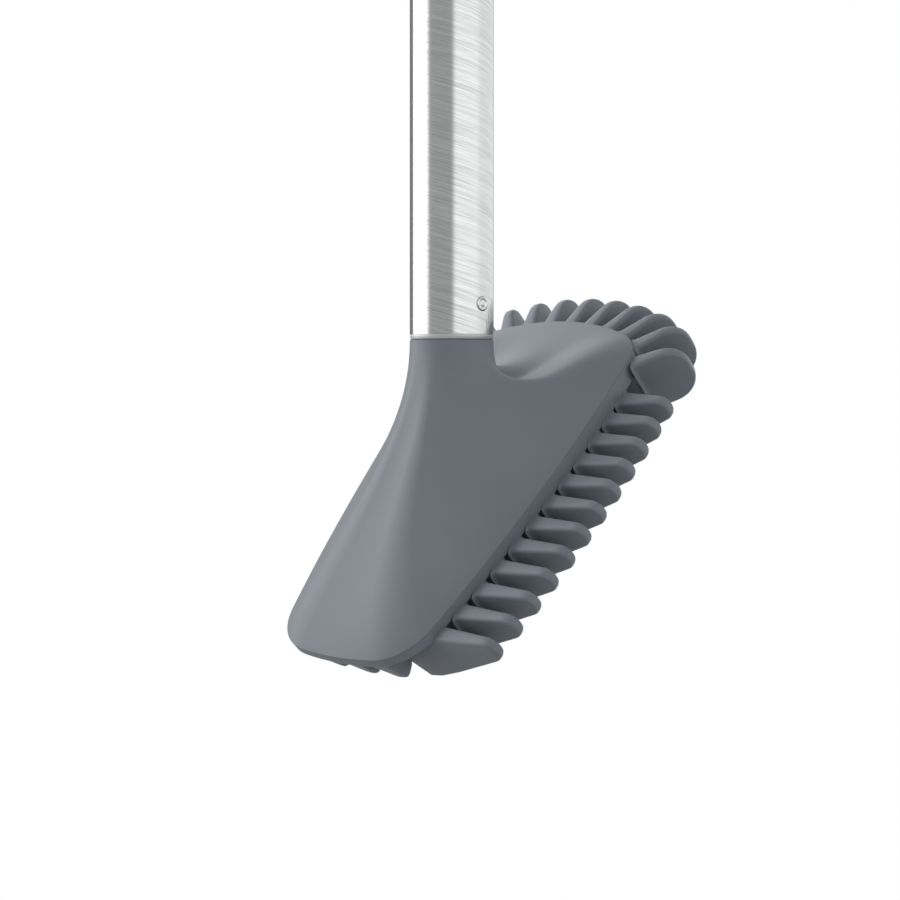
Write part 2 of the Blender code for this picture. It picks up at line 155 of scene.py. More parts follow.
def new_material(name: str) -> tuple[bpy.types.Material, bpy.types.NodeTree, bpy.types.Node]:
    """Makes an empty node material.

    Args:
        name: The material's name.

    Returns:
        The material, its tree and its Principled shader.
    """
    material = bpy.data.materials.new(name)
    material.use_nodes = True
    tree = material.node_tree
    return material, tree, tree.nodes["Principled BSDF"]


def connect(
    tree: bpy.types.NodeTree, socket: bpy.types.NodeSocket, shader: bpy.types.Node, name: str
) -> None:
    """Links a socket to one of a shader's inputs."""
    tree.links.new(socket, shader.inputs[name])


# ---------------------------------------------------------------- finishes


@dataclass(frozen=True)
class BrushedStainless:
    """304 stainless tube, brushed on a belt while it turns.

    The belt leaves fine scratches that climb the tube as a shallow helix, so reflections smear along
    them and break into light and dark streaks.
    """

    name: str = "stainless_304_brushed"
    colour: str = "#d4d5d5"
    streak_colour: str = "#b4b5b5"
    roughness: float = 0.14
    radius: float = 10.0 * MM
    scratch_width: float = 0.24 * MM  # real scratches are a tenth of this and would not show
    scratch_length: float = 16.0 * MM
    broad: float = 4.0  # width of the broad streaks, in scratches
    depth: float = 0.03 * MM
    helix: float = math.radians(17.0)

    def streaks(self, tree: bpy.types.NodeTree, turn: float, width: float) -> bpy.types.NodeSocket:
        """Adds noise stretched along the helix, unrolled round the tube from one side.

        Args:
            tree: The material's tree.
            turn: The direction, from +X, that lies opposite the seam of the unrolled pattern.
            width: The width of one scratch.

        Returns:
            The noise's value.
        """
        place = add(tree, "ShaderNodeTexCoord").outputs["Object"]
        turned = add(
            tree, "ShaderNodeVectorRotate", {"Vector": place, "Angle": -turn}, rotation_type="Z_AXIS"
        )
        axes = add(tree, "ShaderNodeSeparateXYZ", {"Vector": turned.outputs["Vector"]})
        angle = add(
            tree, "ShaderNodeMath", {0: axes.outputs["Y"], 1: axes.outputs["X"]}, operation="ARCTAN2"
        )
        arc = add(tree, "ShaderNodeMath", {0: angle.outputs[0], 1: self.radius}, operation="MULTIPLY")
        flat = add(
            tree,
            "ShaderNodeCombineXYZ",
            {"X": arc.outputs[0], "Y": axes.outputs["Z"], "Z": turn * MM},
        )
        mapping = add(
            tree,
            "ShaderNodeMapping",
            {
                "Vector": flat.outputs[0],
                "Rotation": (0.0, 0.0, -self.helix),
                "Scale": (self.scratch_length, width, MM),
            },
            vector_type="TEXTURE",
        )
        noise = add(
            tree,
            "ShaderNodeTexNoise",
            {"Vector": mapping.outputs[0], "Scale": 1.0, "Detail": 3.0, "Roughness": 0.6},
        )
        return noise.outputs["Fac"]

    def seamless(self, tree: bpy.types.NodeTree, width: float) -> bpy.types.NodeSocket:
        """Mixes two unrolled patterns so that neither one's seam shows.

        Args:
            tree: The material's tree.
            width: The width of one scratch.

        Returns:
            The mixed value.
        """
        place = add(tree, "ShaderNodeTexCoord").outputs["Object"]
        axes = add(tree, "ShaderNodeSeparateXYZ", {"Vector": place})
        side = add(
            tree,
            "ShaderNodeMapRange",
            {"Value": axes.outputs["X"], "From Min": -self.radius * 0.5, "From Max": self.radius * 0.5},
        )
        mix = add(
            tree,
            "ShaderNodeMix",
            {
                "Factor": side.outputs[0],
                "A": self.streaks(tree, math.pi, width),
                "B": self.streaks(tree, 0.0, width),
            },
        )
        return mix.outputs["Result"]

    def make(self) -> bpy.types.Material:
        """Makes the material.

        Returns:
            The material.
        """
        material, tree, shader = new_material(self.name)
        fine = self.seamless(tree, self.scratch_width)
        broad = self.seamless(tree, self.scratch_width * self.broad)
        both = add(tree, "ShaderNodeMix", {"Factor": 0.4, "A": fine, "B": broad}).outputs["Result"]
        colour = ramp(tree, both, [(0.38, linear(self.streak_colour)), (0.6, linear(self.colour))])
        connect(tree, colour, shader, "Base Color")
        rough = add(
            tree,
            "ShaderNodeMapRange",
            {
                "Value": both,
                "From Min": 0.35,
                "From Max": 0.65,
                "To Min": self.roughness + 0.1,
                "To Max": self.roughness - 0.04,
            },
        )
        connect(tree, rough.outputs[0], shader, "Roughness")
        bump = add(tree, "ShaderNodeBump", {"Height": both, "Strength": 0.07, "Distance": self.depth})
        connect(tree, bump.outputs[0], shader, "Normal")
        shader.inputs["Metallic"].default_value = 1.0
        return material


@dataclass(frozen=True)
class SatinSteelWithPaintedHighlight:
    """The tube's end band, blasted to a satin that spreads the light, and coloured lighter than the brushed
    tube as painted highlight for the pale band of light off the tube's end.
    """

    name: str = "stainless_304_satin_painted_highlight"
    # colour and shade are lighter than the brushed tube's: painted highlight on the end band
    colour: str = "#dadbdb"
    shade: str = "#cbcccc"
    roughness: float = 0.5
    grain: float = 0.1 * MM

    def make(self) -> bpy.types.Material:
        """Makes the material.

        Returns:
            The material.
        """
        material, tree, shader = new_material(self.name)
        place = add(tree, "ShaderNodeTexCoord").outputs["Object"]
        noise = add(tree, "ShaderNodeTexNoise", {"Vector": place, "Scale": 1.0 / self.grain})
        colour = ramp(tree, noise.outputs["Fac"], [(0.3, linear(self.shade)), (0.7, linear(self.colour))])
        connect(tree, colour, shader, "Base Color")
        shader.inputs["Metallic"].default_value = 1.0
        shader.inputs["Roughness"].default_value = self.roughness
        return material


@dataclass(frozen=True)
class TurnedSteel:
    """Bright turned steel of the stud: fine rings from the lathe, with a little oil tint."""

    name: str = "turned_steel"
    colour: str = "#b4b5b6"
    shade: str = "#98999a"
    roughness: float = 0.3
    ring: float = 0.25 * MM
    across: float = 50.0 * MM  # the pattern hardly changes round a ring

    def make(self) -> bpy.types.Material:
        """Makes the material.

        Returns:
            The material.
        """
        material, tree, shader = new_material(self.name)
        place = add(tree, "ShaderNodeTexCoord").outputs["Object"]
        wide = add(
            tree,
            "ShaderNodeMapping",
            {"Vector": place, "Scale": (1.0 / self.across, 1.0 / self.across, 1.0 / self.ring)},
        )
        noise = add(tree, "ShaderNodeTexNoise", {"Vector": wide.outputs[0], "Scale": 1.0, "Detail": 2.0})
        colour = ramp(tree, noise.outputs["Fac"], [(0.3, linear(self.shade)), (0.7, linear(self.colour))])
        connect(tree, colour, shader, "Base Color")
        shader.inputs["Metallic"].default_value = 1.0
        shader.inputs["Roughness"].default_value = self.roughness
        return material


@dataclass(frozen=True)
class SlateSilicone:
    """Platinum-cured silicone, moulded in a spark-eroded tool.

    The tool's fine grain takes the shine off, so it looks soft and matt with a faint bloom at grazing
    angles, and its colour drifts a little with the wall's thickness.
    """

    name: str = "silicone_slate_grey"
    colour: str = "#737b82"
    shade: str = "#6d757c"
    roughness: float = 0.45
    ior: float = 1.41
    sheen: float = 0.12
    sheen_roughness: float = 0.45
    grain: float = 0.18 * MM
    grain_depth: float = 0.02 * MM
    drift: float = 40.0 * MM

    def make(self) -> bpy.types.Material:
        """Makes the material.

        Returns:
            The material.
        """
        material, tree, shader = new_material(self.name)
        place = add(tree, "ShaderNodeTexCoord").outputs["Object"]
        cloud = add(
            tree, "ShaderNodeTexNoise", {"Vector": place, "Scale": 1.0 / self.drift, "Detail": 2.0}
        )
        colour = ramp(
            tree, cloud.outputs["Fac"], [(0.35, linear(self.shade)), (0.65, linear(self.colour))]
        )
        connect(tree, colour, shader, "Base Color")
        grain = add(
            tree, "ShaderNodeTexNoise", {"Vector": place, "Scale": 1.0 / self.grain, "Detail": 2.0}
        )
        rough = add(
            tree,
            "ShaderNodeMapRange",
            {
                "Value": grain.outputs["Fac"],
                "To Min": self.roughness - 0.05,
                "To Max": self.roughness + 0.07,
            },
        )
        connect(tree, rough.outputs[0], shader, "Roughness")
        bump = add(
            tree,
            "ShaderNodeBump",
            {"Height": grain.outputs["Fac"], "Strength": 0.12, "Distance": self.grain_depth},
        )
        connect(tree, bump.outputs[0], shader, "Normal")
        shader.inputs["IOR"].default_value = self.ior
        shader.inputs["Sheen Weight"].default_value = self.sheen
        shader.inputs["Sheen Roughness"].default_value = self.sheen_roughness
        return material


@dataclass(frozen=True)
class MouldedPlastic:
    """Injection-moulded polypropylene or nitrile rubber: dark, even, and faintly grained."""

    name: str
    colour: str
    roughness: float
    grain: float = 0.3 * MM
    grain_depth: float = 0.03 * MM

    def make(self) -> bpy.types.Material:
        """Makes the material.

        Returns:
            The material.
        """
        material, tree, shader = new_material(self.name)
        place = add(tree, "ShaderNodeTexCoord").outputs["Object"]
        noise = add(tree, "ShaderNodeTexNoise", {"Vector": place, "Scale": 1.0 / self.grain, "Detail": 3.0})
        base = linear(self.colour)
        lighter = tuple(min(1.0, 1.3 * c) for c in base[:3]) + (1.0,)
        connect(tree, ramp(tree, noise.outputs["Fac"], [(0.3, base), (0.8, lighter)]), shader, "Base Color")
        bump = add(
            tree,
            "ShaderNodeBump",
            {"Height": noise.outputs["Fac"], "Strength": 0.2, "Distance": self.grain_depth},
        )
        connect(tree, bump.outputs[0], shader, "Normal")
        shader.inputs["Roughness"].default_value = self.roughness
        return material


@dataclass
class Finishes:
    """Every material of the brush, made once."""

    steel: bpy.types.Material = field(default_factory=lambda: BrushedStainless().make())
    # the tube's end band: satin roughness, and a lighter colour that is painted highlight
    satin_with_painted_highlight: bpy.types.Material = field(default_factory=lambda: SatinSteelWithPaintedHighlight().make())
    stud: bpy.types.Material = field(default_factory=lambda: TurnedSteel().make())
    silicone: bpy.types.Material = field(default_factory=lambda: SlateSilicone().make())
    plastic: bpy.types.Material = field(
        default_factory=lambda: MouldedPlastic("polypropylene_black", "#2a2d30", 0.5).make()
    )
    rubber: bpy.types.Material = field(
        default_factory=lambda: MouldedPlastic("nitrile_black", "#17181a", 0.65).make()
    )


# ---------------------------------------------------------------- mesh helpers


def make_piece(
    name: str,
    points: Iterable[Sequence[float]],
    faces: Iterable[Sequence[int]],
    material: bpy.types.Material,
    crease: float,
) -> bpy.types.Object:
    """Makes a piece from points and faces, shaded smooth up to a crease angle.

    Args:
        name: The piece's name.
        points: Its points, in metres.
        faces: Its faces, as lists of point numbers.
        material: Its finish.
        crease: Edges sharper than this many degrees stay sharp.

    Returns:
        The new object, with its faces pointing outwards.
    """
    mesh = bpy.data.meshes.new(name)
    mesh.from_pydata([tuple(p) for p in points], [], [tuple(f) for f in faces])
    mesh.validate()
    obj = bpy.data.objects.new(name, mesh)
    bpy.context.scene.collection.objects.link(obj)
    mesh.materials.append(material)
    face_outwards(mesh)
    mesh.shade_smooth()
    mesh.set_sharp_from_angle(angle=math.radians(crease))
    return obj


def face_outwards(mesh: bpy.types.Mesh) -> None:
    """Merges doubles and turns every face of a closed mesh outwards.

    Args:
        mesh: The mesh, changed in place.
    """
    work = bmesh.new()
    work.from_mesh(mesh)
    bmesh.ops.remove_doubles(work, verts=work.verts, dist=0.001 * MM)
    bmesh.ops.recalc_face_normals(work, faces=work.faces)
    work.to_mesh(mesh)
    work.free()


def loft(rings: Sequence[Sequence[Sequence[float]]], cap: bool = True) -> tuple[list, list]:
    """Joins closed rings of equal length into a surface.

    Args:
        rings: The rings, in order.
        cap: Whether the first and the last ring are closed with a face.

    Returns:
        Points and faces.
    """
    count = len(rings[0])
    points = [p for ring in rings for p in ring]
    faces: list = []
    for row in range(len(rings) - 1):
        for i in range(count):
            j = (i + 1) % count
            here, below = row * count, (row + 1) * count
            faces.append((here + i, here + j, below + j, below + i))
    if cap:
        last = (len(rings) - 1) * count
        faces.append(tuple(range(count)))
        faces.append(tuple(last + i for i in reversed(range(count))))
    return points, faces


def turned(profile: Sequence[Point], segments: int) -> tuple[list, list]:
    """Turns an open (radius, z) profile about Z and closes both ends.

    Args:
        profile: The points, from one end to the other.
        segments: The number of sides.

    Returns:
        Points and faces.
    """
    turns = [2 * math.pi * i / segments for i in range(segments)]
    return loft([[(r * math.cos(a), r * math.sin(a), z) for a in turns] for r, z in profile])


def arc(centre: Point, radius: float, start: float, end: float, steps: int) -> list[Point]:
    """Returns points along an arc, from one angle to another in degrees."""
    angles = [math.radians(start + (end - start) * i / steps) for i in range(steps + 1)]
    return [(centre[0] + radius * math.cos(a), centre[1] + radius * math.sin(a)) for a in angles]


# ---------------------------------------------------------------- handle


@dataclass
class Handle:
    """The steel tube with its end cap, lock buttons and socket insert."""

    finishes: Finishes
    seam_cover: float = 0.24 * MM  # how far the skin closes the seam above the head
    band: float = 1.15 * MM
    band_step: float = 0.12 * MM
    wall: float = 0.8 * MM
    edge: float = 0.1 * MM
    tube_sides: int = 160
    cap_edge: float = 1.1 * MM
    cap_gap: float = 0.3 * MM
    cap_bevel: float = 0.2 * MM
    spigot_radius: float = 4.0 * MM
    spigot_bevel: float = 0.3 * MM
    button_radius: float = 1.85 * MM
    button_rise: float = 0.2 * MM

    def build(self) -> None:
        """Builds and dresses every piece of the handle."""
        self.tube()
        self.cap()
        for node in ("lock_pin_near", "lock_pin_far"):
            self.button(node)
        for node in ("cap_plug", "socket_insert"):
            dress(node, self.finishes.plastic)

    def tube(self) -> None:
        """Builds the tube, whose lower end has a narrow satin band, coloured lighter as painted highlight.
        """
        low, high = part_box("handle_tube")
        low = low - Vector((0.0, 0.0, self.seam_cover))
        radius = (high.x - low.x) / 2
        bore = radius - self.wall
        band = radius - self.band_step
        profile = [(bore, high.z), (radius - self.edge, high.z), (radius, high.z - self.edge)]
        profile += [(radius, z) for z in np.linspace(high.z - 1 * MM, low.z + 2 * MM, 12)]
        profile += [(radius, low.z + self.band + self.edge), (band, low.z + self.band)]
        profile += [(band, low.z + 2 * self.edge), (band - 2 * self.edge, low.z), (bore, low.z)]
        points, faces = turned(profile + [profile[0]], self.tube_sides)
        tube = make_piece("tube_skin", points, [f for f in faces if len(f) == 4], self.finishes.steel, 50)
        # the end band gets the lighter satin finish: painted highlight on the tube's end
        tube.data.materials.append(self.finishes.satin_with_painted_highlight)
        for face in tube.data.polygons:
            if face.center.z < low.z + self.band + self.edge * 0.8:
                face.material_index = 1
        settle(tube, Body.HANDLE, Slot.STEEL, "handle_tube")

    def cap(self) -> None:
        """Builds the end cap: a flat top with a softly rounded edge, on a spigot."""
        low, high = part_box("end_cap")
        tube_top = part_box("handle_tube")[1].z
        radius = (high.x - low.x) / 2
        plate = tube_top + self.cap_gap
        profile = [(0.5 * MM, high.z), (radius - self.cap_edge - 1 * MM, high.z)]
        profile += arc((radius - self.cap_edge, high.z - self.cap_edge), self.cap_edge, 90, 0, 8)
        profile += [(radius, plate + self.cap_bevel), (radius - self.cap_bevel, plate)]
        profile += [(self.spigot_radius, plate), (self.spigot_radius, low.z + self.spigot_bevel)]
        profile += [(self.spigot_radius - self.spigot_bevel, low.z)]
        points, faces = turned(profile, 128)
        cap = make_piece("cap_turned", points, faces, self.finishes.steel, 40)
        settle(cap, Body.HANDLE, Slot.STEEL, "end_cap")

    def button(self, node: str) -> None:
        """Builds one lock button: a round rivet head with a dished middle, on its shank.

        Args:
            node: The pin's node, which lies along Y.
        """
        low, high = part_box(node)
        side = 1.0 if high.y > 0 else -1.0
        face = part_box("handle_tube")[1].x
        inner = min(abs(low.y), abs(high.y))
        shank = (high.x - low.x) / 2
        middle = (low.z + high.z) / 2
        rim, rise = self.button_radius, self.button_rise
        profile = [
            (shank, inner),
            (shank, face - 0.5 * MM),
            (rim, face - 0.45 * MM),
            (rim, face - 0.12 * MM),
            (rim * 0.95, face + 0.05 * MM),
            (rim * 0.84, face + rise * 0.8),
            (rim * 0.7, face + rise),
            (rim * 0.6, face + rise * 0.75),
            (rim * 0.52, face + rise * 0.4),
            (rim * 0.42, face + rise * 0.55),
            (rim * 0.24, face + rise * 0.85),
            (rim * 0.04, face + rise * 0.95),
        ]
        points, faces = turned(profile, 40)
        placed = [(x, side * z, middle + y) for x, y, z in points]
        button = make_piece(node.replace("lock_pin", "lock_button"), placed, faces, self.finishes.steel, 50)
        settle(button, Body.HANDLE, Slot.STEEL, node)


def settle(piece: bpy.types.Object, body: Body, slot: Slot, *nodes: str) -> None:
    """Makes a piece ride on its body, hides the solids it stands for, and reports it.

    Args:
        piece: The finished piece.
        body: The body that it moves with.
        slot: Its material slot; not used.
        nodes: The solids that it takes the place of.
    """
    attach(piece, body.value)
    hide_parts(*nodes)
    LOG.info("%s: %d faces, rides on %s", piece.name, len(piece.data.polygons), body.value)


def dress(node: str, material: bpy.types.Material) -> None:
    """Gives a solid that stays in view its finish.

    Args:
        node: The solid's name.
        material: Its finish.
    """
    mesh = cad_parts[node].data
    mesh.materials.clear()
    mesh.materials.append(material)
    LOG.info("%s: dressed in %s", node, material.name)


# ---------------------------------------------------------------- screw joint


@dataclass
class ScrewJoint:
    """The stud that carries the head, with its thread, and the seal ring round it."""

    finishes: Finishes
    pitch: float = 3.0 * MM
    thread_depth: float = 0.75 * MM
    end_bevel: float = 0.8 * MM
    flank_slope: float = 2.4
    root_flat: float = 0.7
    sides: int = 72
    rows_per_turn: int = 14

    def build(self) -> None:
        """Builds the threaded stud and dresses the seal ring."""
        dress("seal_ring", self.finishes.rubber)
        low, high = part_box("threaded_stud")
        crest = (high.x - low.x) / 2
        rows = round((high.z - low.z) / self.pitch * self.rows_per_turn)
        rings = []
        for row in range(rows + 1):
            z = low.z + (high.z - low.z) * row / rows
            end = min(z - low.z, high.z - z)
            limit = crest - max(0.0, self.end_bevel - end)
            ring = []
            for i in range(self.sides):
                turn = i / self.sides
                share = (z / self.pitch - turn) % 1.0
                flank = min(1.0, max(0.0, self.flank_slope * abs(2 * share - 1) - self.root_flat))
                radius = min(limit, crest - self.thread_depth * (1.0 - flank))
                angle = 2 * math.pi * turn
                ring.append((radius * math.cos(angle), radius * math.sin(angle), z))
            rings.append(ring)
        points, faces = loft(rings)
        stud = make_piece("stud_thread", points, faces, self.finishes.stud, 60)
        settle(stud, Body.HEAD, Slot.STUD_STEEL, "threaded_stud")


# ---------------------------------------------------------------- head


@dataclass
class Outline:
    """The head's outline in its base plane: toe, side and heel arcs with rounded corners between."""

    toe_reach: float = 54.0 * MM
    heel_reach: float = 53.4 * MM
    half_width: float = 31.0 * MM
    widest_at: float = 36.0 * MM
    side_arc: float = 385.0 * MM
    toe_arc: float = 62.0 * MM
    heel_arc: float = 100.0 * MM
    toe_corner: float = 10.0 * MM
    heel_corner: float = 13.0 * MM

    def __post_init__(self) -> None:
        """Works out the arcs, from the toe's middle round the finned side to the heel's middle."""
        side = (self.widest_at, self.half_width - self.side_arc)
        toe = (self.toe_reach - self.toe_arc, 0.0)
        heel = (self.heel_arc - self.heel_reach, 0.0)
        front = self._corner(toe, self.toe_arc, side, self.toe_corner, 1.0)
        back = self._corner(heel, self.heel_arc, side, self.heel_corner, -1.0)
        pairs = ((toe, front), (side, front), (side, back), (heel, back))
        turns = [self._heading(*pair) for pair in pairs]
        self.arcs = [
            (toe, self.toe_arc, 0.0, turns[0]),
            (front, self.toe_corner, turns[0], turns[1]),
            (side, self.side_arc, turns[1], turns[2]),
            (back, self.heel_corner, turns[2], turns[3]),
            (heel, self.heel_arc, turns[3], math.pi),
        ]
        self.length = sum(radius * (end - start) for _, radius, start, end in self.arcs)

    @staticmethod
    def _heading(centre: Point, point: Point) -> float:
        """Returns the direction from a centre to a point, as an angle from the l axis."""
        return math.atan2(point[1] - centre[1], point[0] - centre[0])

    def _corner(self, end: Point, end_radius: float, side: Point, radius: float, towards: float) -> Point:
        """Finds a corner arc's centre.

        Args:
            end: The centre of the toe or heel arc.
            end_radius: That arc's radius.
            side: The centre of the side arc.
            radius: The corner's own radius.
            towards: 1 for the toe and -1 for the heel.

        Returns:
            The centre of an arc that touches both from inside.
        """
        first, second = end_radius - radius, self.side_arc - radius
        gap = math.dist(end, side)
        ahead = (first**2 - second**2 + gap**2) / (2 * gap)
        aside = math.sqrt(first**2 - ahead**2)
        step = [(side[i] - end[i]) / gap for i in (0, 1)]
        middle = [end[i] + ahead * step[i] for i in (0, 1)]
        found = [(middle[0] - k * aside * step[1], middle[1] + k * aside * step[0]) for k in (1, -1)]
        return max(found, key=lambda point: towards * point[0])

    def at(self, distance: float, inset: float = 0.0) -> tuple[float, float, float]:
        """Finds a place on the outline.

        Args:
            distance: Distance along it from the toe's middle, negative on the plain side.
            inset: How far inside the outline the point lies.

        Returns:
            l, w and the outward heading.
        """
        side = math.copysign(1.0, distance)
        left = abs(distance)
        for centre, radius, start, end in self.arcs:
            span = radius * (end - start)
            if left <= span or end == math.pi:
                turn = start + left / radius
                reach = radius - inset
                return (
                    centre[0] + reach * math.cos(turn),
                    side * (centre[1] + reach * math.sin(turn)),
                    side * turn,
                )
            left -= span
        raise ValueError("the outline has no such place")

    def ring(self, count: int, inset: float = 0.0) -> list[tuple[float, float, float]]:
        """Spaces places evenly round the whole outline, starting at the toe's middle.

        Args:
            count: How many places, an even number.
            inset: How far inside the outline they lie.

        Returns:
            l, w and the outward heading of each place.
        """
        half = count // 2
        distances = [self.length * i / half for i in range(half + 1)]
        distances += [-d for d in reversed(distances[1:-1])]
        return [self.at(d, inset) for d in distances]

    def soft_heading(self, distance: float, spread: float = 16.0 * MM) -> float:
        """Averages the heading over a stretch, so that the dome's lines turn evenly past the corners.

        Args:
            distance: Distance along the outline from the toe's middle.
            spread: The stretch each way.

        Returns:
            The averaged heading.
        """
        total = 0.0
        each_way = 4
        for step in range(-each_way, each_way + 1):
            place = distance + step * spread / each_way
            over = abs(place) - self.length
            if over <= 0:
                total += self.at(place)[2]
            else:
                mirrored = math.copysign(self.length - over, place)
                total += math.copysign(2 * math.pi, place) - self.at(mirrored)[2]
        return total / (2 * each_way + 1)

    def soft_ring(self, count: int) -> list[tuple[float, float, float]]:
        """Spaces places evenly round the whole outline, with averaged headings.

        Args:
            count: How many places, an even number.

        Returns:
            l, w and the averaged heading of each place.
        """
        half = count // 2
        distances = [self.length * i / half for i in range(half + 1)]
        distances += [-d for d in reversed(distances[1:-1])]
        return [self.at(d)[:2] + (self.soft_heading(d),) for d in distances]

    def half_width_at(self, along: float) -> float:
        """Returns the half-width on the side arc at a place along the head."""
        centre, radius = self.arcs[2][:2]
        return centre[1] + math.sqrt(radius**2 - (along - centre[0]) ** 2)


@dataclass
class BaseFrame:
    """The frame of the head's base plane, placed from the top of the neck."""

    lean: float = math.radians(45.0)
    drop: float = 33.0 * MM

    def __post_init__(self) -> None:
        """Works out the axes and the origin."""
        self.neck_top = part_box("seal_ring")[1].z
        self.origin = np.array((0.0, 0.0, self.neck_top - self.drop))
        self.along = np.array((math.cos(self.lean), 0.0, math.sin(self.lean)))
        self.across = np.array((0.0, -1.0, 0.0))
        self.away = np.array((math.sin(self.lean), 0.0, -math.cos(self.lean)))

    def point(self, along: float, across: float, away: float) -> np.ndarray:
        """Returns the point at (l, w, n)."""
        return self.origin + self.along * along + self.across * across + self.away * away


@dataclass
class Dome:
    """The silicone dome that flows from the round neck to the leaning outline."""

    finishes: Finishes
    base: BaseFrame
    outline: Outline
    around: int = 320
    rows: int = 96
    wall: float = 2.2 * MM
    inner_every: int = 4  # the hollow's wall has a row for every so many of the outside's
    lip: float = 0.2 * MM
    collar: tuple[float, float] = (0.985, 0.97)  # the seam's inner lip, in shares of the neck's radius
    collar_drop: tuple[float, float] = (0.12 * MM, 0.02 * MM)
    neck_pull: tuple[float, float, float] = (8.0 * MM, 14.0 * MM, 25.0 * MM)  # toe, side, heel
    neck_dip: float = 10.0 * MM
    rim_pull: tuple[float, float, float] = (24.0 * MM, 13.0 * MM, 24.0 * MM)
    rim_slope: tuple[float, float, float] = (math.radians(7.0), math.radians(42.0), math.radians(32.0))

    @staticmethod
    def blended(sizes: tuple[float, float, float], turn: float) -> float:
        """Blends a size between its toe, side and heel values.

        Args:
            sizes: The values at the toe, the side and the heel.
            turn: The heading round the head.

        Returns:
            The size there.
        """
        ahead = math.cos(turn)
        end = sizes[0] if ahead > 0 else sizes[2]
        return sizes[1] + (end - sizes[1]) * ahead**2

    def surface(self) -> np.ndarray:
        """Works out the outer surface.

        Returns:
            Points by row, from neck to rim, and by place round the head.
        """
        radius = (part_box("handle_tube")[1].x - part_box("handle_tube")[0].x) / 2
        under_neck = self.base.drop * math.sin(self.base.lean)
        steps = np.linspace(0.0, 1.0, self.rows + 1)[:, None]
        lines = []
        for along, across, turn in self.outline.soft_ring(self.around):
            rim = self.base.point(along, across, 0.0)
            facing = math.atan2(across, along - under_neck)
            neck = np.array((radius * math.cos(facing), -radius * math.sin(facing), self.base.neck_top))
            slope = self.blended(self.rim_slope, turn)
            inward = -self.outward(turn)
            rise = inward * math.cos(slope) - self.base.away * math.sin(slope)
            dip = self.neck_dip * math.sin(2 * facing) ** 2 if abs(facing) < math.pi / 2 else 0.0
            first = neck - np.array((0.0, 0.0, self.blended(self.neck_pull, facing) + dip))
            second = rim + rise * self.blended(self.rim_pull, turn)
            back = 1.0 - steps
            lines.append(
                neck * back**3
                + first * (3 * back**2 * steps)
                + second * (3 * back * steps**2)
                + rim * steps**3
            )
        return np.stack(lines, axis=1)

    @staticmethod
    def normals(surface: np.ndarray) -> np.ndarray:
        """Works out the outward normals.

        Args:
            surface: Points by row and by place round the head.

        Returns:
            The outward normal at each of them.
        """
        down = np.gradient(surface, axis=0)
        round_head = np.roll(surface, -1, axis=1) - np.roll(surface, 1, axis=1)
        normal = np.cross(round_head, down)
        return normal / np.linalg.norm(normal, axis=2, keepdims=True)

    def build(self) -> None:
        """Builds the dome as one closed skin with a rounded rim and a hollow inside."""
        outer = self.surface()
        normal = self.normals(outer)
        inner = outer[:: self.inner_every] - normal[:: self.inner_every] * self.wall
        depth = (inner - self.base.origin) @ self.base.away
        inner = inner - np.maximum(depth, 0.0)[..., None] * self.base.away
        out = np.array([self.outward(turn) for _, _, turn in self.outline.ring(self.around)])
        soft = [
            outer[-1] - normal[-1] * self.lip * (1 - math.cos(a)) - out * self.lip * math.sin(a)
            for a in np.radians((30.0, 60.0, 90.0))
        ]
        up = np.array((0.0, 0.0, 1.0))
        collar = outer[0] * (1.0 - up) + up * self.base.neck_top
        wide, narrow = (collar * np.array((k, k, 1.0)) for k in self.collar)
        edge = [narrow, wide - up * self.collar_drop[1]]
        body = [outer[0] - up * self.collar_drop[0]] + list(outer[1:])
        skin = [self.flat(row) for row in soft]
        rings = [inner[0]] + edge + body + skin + list(inner[::-1])
        points, faces = loft([ring.tolist() for ring in rings], cap=False)
        dome = make_piece("dome_skin", points, faces, self.finishes.silicone, 50)
        settle(dome, Body.HEAD, Slot.SILICONE, "head_shell")

    def outward(self, turn: float) -> np.ndarray:
        """Returns the direction in the base plane of a heading round the head."""
        return self.base.along * math.cos(turn) + self.base.across * math.sin(turn)

    def flat(self, row: np.ndarray) -> np.ndarray:
        """Keeps a row of points on or above the base plane."""
        depth = (row - self.base.origin) @ self.base.away
        return row - np.maximum(depth, 0.0)[:, None] * self.base.away


@dataclass
class Blade:
    """A flat silicone blade, drawn as slices across its length.

    Each slice is a rounded rectangle between the blade's top and lower edges, so the blade has soft
    edges all round and a fillet at its root that meets its neighbour's in a round slot.
    """

    places: Sequence[float]
    top: Profile
    low: Profile
    half: Profile
    edge: float = 1.0 * MM
    steps: int = 4

    def slice(self, place: float) -> list[tuple[float, float, float]]:
        """Works out one slice.

        Args:
            place: Its place along the blade.

        Returns:
            A loop of points in (u, thickness, n).
        """
        top, low, half = self.top(place), self.low(place), self.half(place)
        edge = min(self.edge, half * 0.9, (low - top) * 0.45)
        loop: list[tuple[float, float, float]] = []
        for sign_y, sign_z, start in QUADRANTS:
            centre = (sign_y * (half - edge), (low + top) / 2 + sign_z * ((low - top) / 2 - edge))
            loop += [(place, y, n) for y, n in arc(centre, edge, start, start + 90, self.steps)]
        return loop

    def mesh(self, name: str, material: bpy.types.Material) -> bpy.types.Object:
        """Makes the blade as an object at the origin of its own frame."""
        points, faces = loft([self.slice(place) for place in self.places])
        return make_piece(name, points, faces, material, 50)


